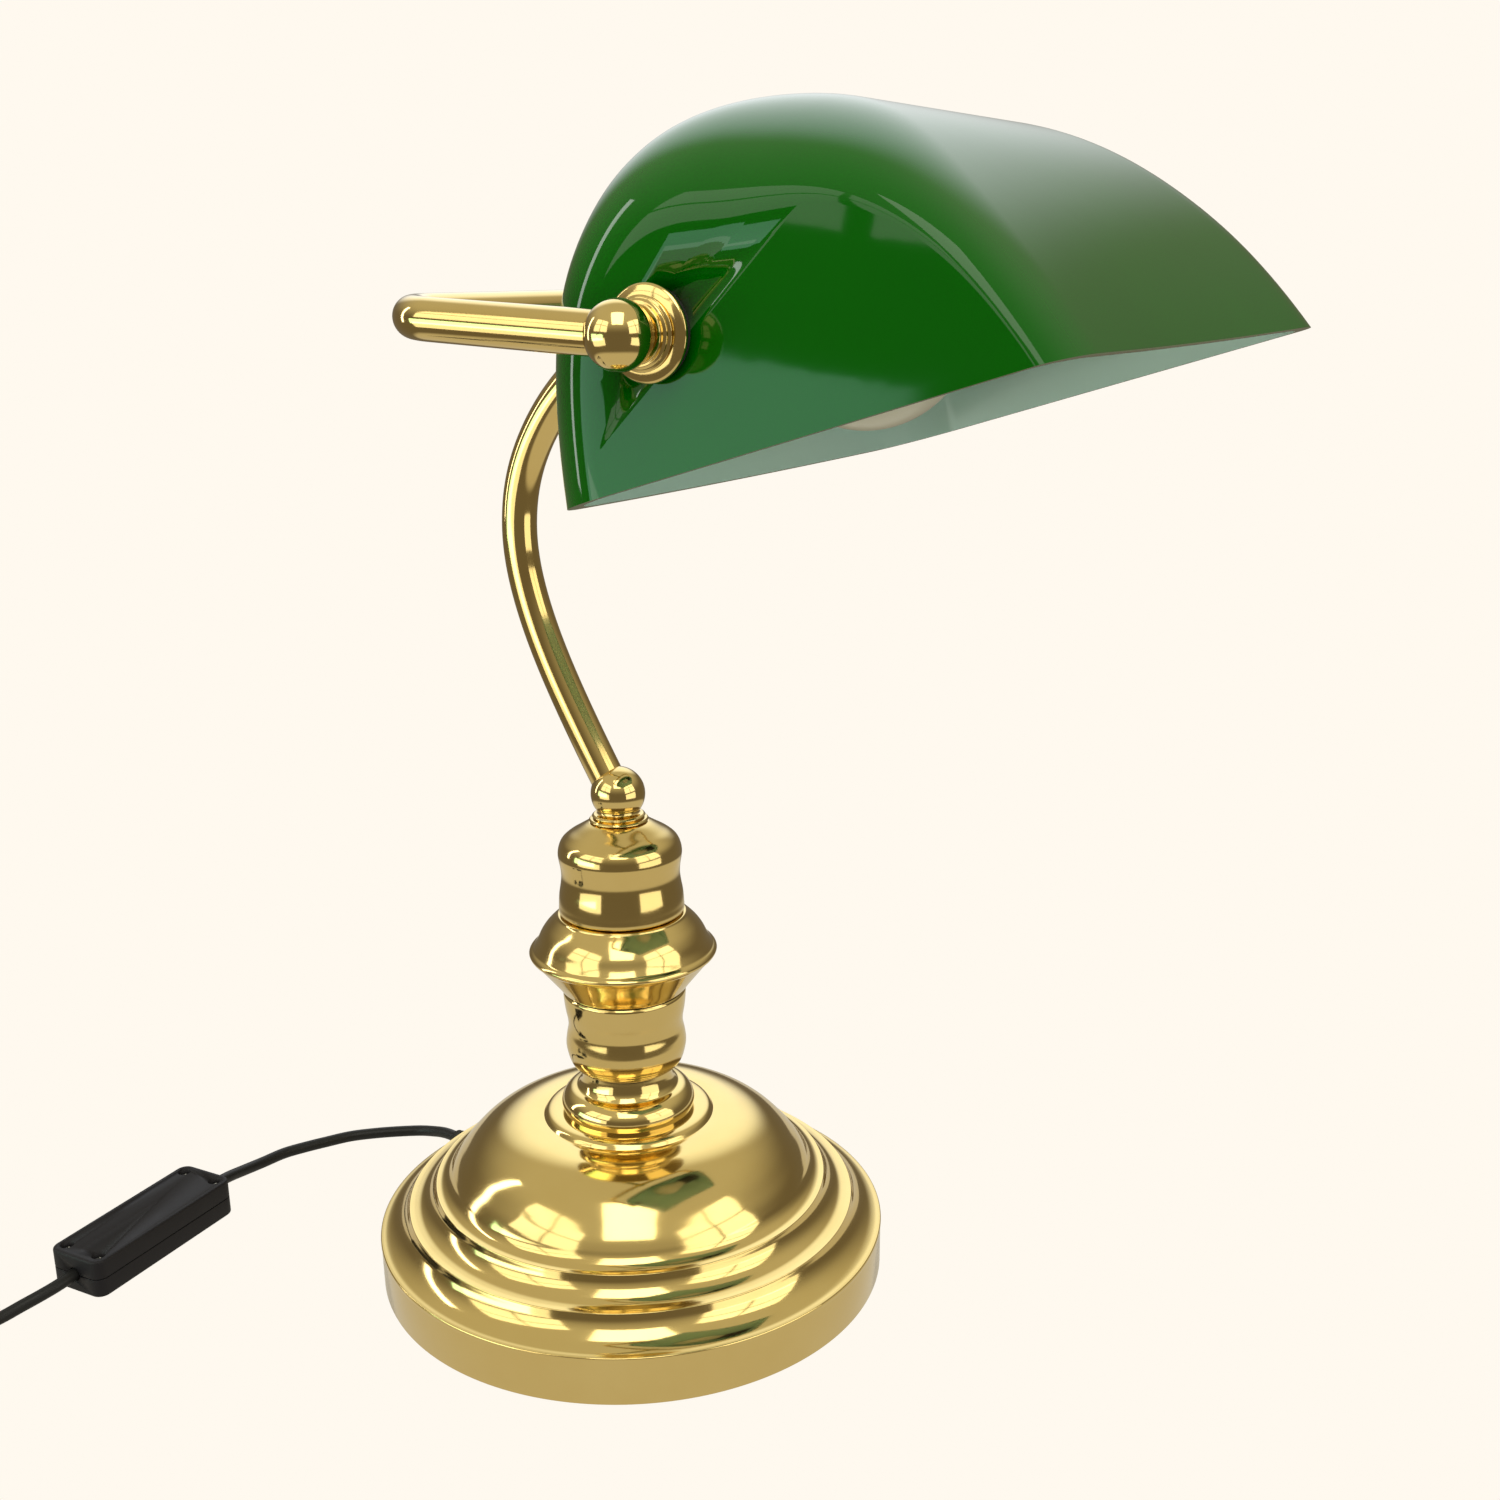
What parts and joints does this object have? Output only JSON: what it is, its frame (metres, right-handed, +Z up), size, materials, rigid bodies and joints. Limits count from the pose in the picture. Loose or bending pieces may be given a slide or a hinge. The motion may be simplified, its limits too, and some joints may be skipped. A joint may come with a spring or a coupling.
{
  "type": "banker desk lamp",
  "caption": "Desk lamp with a domed brass base, turned column and bent arm; a U-shaped yoke holds a long, round-ended glass shade that tilts over a bulb.",
  "frame": {"origin": "centre of the felt pad under the base, on the surface the lamp stands on", "axes": "+Z up; the lamp faces -Y, so the shade opens over -Y; X runs along the shade and its tilt axis"},
  "size_m": [0.3952, 0.5286, 0.4211],
  "materials": {
    "polished_brass": "polished and lacquered",
    "zinc_steel": "zinc plated",
    "cast_iron": "as cast",
    "green_glass": "cased glass, gloss green outside and pale inside",
    "opal_glass": "white opal",
    "black_plastic": "moulded, semi-gloss",
    "black_cord": "smooth PVC sheath",
    "black_rubber": "matt",
    "white_ceramic": "glazed porcelain",
    "green_felt": "pressed felt"
  },
  "bodies": {
    "stand": {"felt_pad": "green_felt", "base_weight": "cast_iron", "base_shell": "polished_brass", "strain_relief": "black_rubber", "cord_clamp": "zinc_steel", "threaded_rod": "zinc_steel", "rod_washer": "zinc_steel", "rod_nut": "zinc_steel", "column_lower": "polished_brass", "column_bell": "polished_brass", "column_upper": "polished_brass", "column_neck": "polished_brass", "column_ball": "polished_brass", "arm_tube": "polished_brass", "yoke_boss": "polished_brass", "yoke_tube": "polished_brass", "inner_flex": "black_cord", "knob_ball_left": "polished_brass", "knob_collar_left": "polished_brass", "knob_flange_left": "polished_brass", "knob_ball_right": "polished_brass", "knob_collar_right": "polished_brass", "knob_flange_right": "polished_brass", "cord_to_switch": "black_cord", "cord_to_coil": "black_cord", "cord_to_plug": "black_cord", "cord_coil": "black_cord", "switch_upper": "black_plastic", "switch_lower": "black_plastic", "rocker_pin": "zinc_steel", "switch_contacts": "polished_brass", "switch_screw_1": "zinc_steel", "switch_screw_2": "zinc_steel", "switch_screw_3": "zinc_steel", "switch_screw_4": "zinc_steel", "plug_body": "black_plastic", "plug_pin_1": "zinc_steel", "plug_pin_2": "zinc_steel"},
    "shade": {"glass_shade": "green_glass", "outer_washer_left": "black_rubber", "inner_washer_left": "black_rubber", "clamp_nut_left": "zinc_steel", "nipple_left": "zinc_steel", "outer_washer_right": "black_rubber", "inner_washer_right": "black_rubber", "nipple_right": "zinc_steel", "holder_cap": "black_plastic", "holder_insert": "white_ceramic", "holder_contact": "polished_brass", "screw_shell": "polished_brass", "holder_shell": "black_plastic"},
    "bulb": {"bulb_cap": "zinc_steel", "bulb_glass": "opal_glass"},
    "rocker": {"switch_rocker": "black_plastic"}
  },
  "joints": [
    {"name": "shade_tilt", "type": "hinge", "parent": "stand", "child": "shade", "pos_m": [0, -0.0988, 0.3605], "axis": [1, 0, 0], "range_deg": [-35, 30]},
    {"name": "bulb_unscrew", "type": "hinge", "parent": "shade", "child": "bulb", "pos_m": [0.06, -0.0988, 0.3605], "axis": [1, 0, 0], "range_deg": [0, 1080]},
    {"name": "switch_press", "type": "hinge", "parent": "stand", "child": "rocker", "pos_m": [-0.1007, 0.1716, 0.0036], "axis": [-0.0872, 0.9962, 0], "range_deg": [-10, 0]}
  ]
}
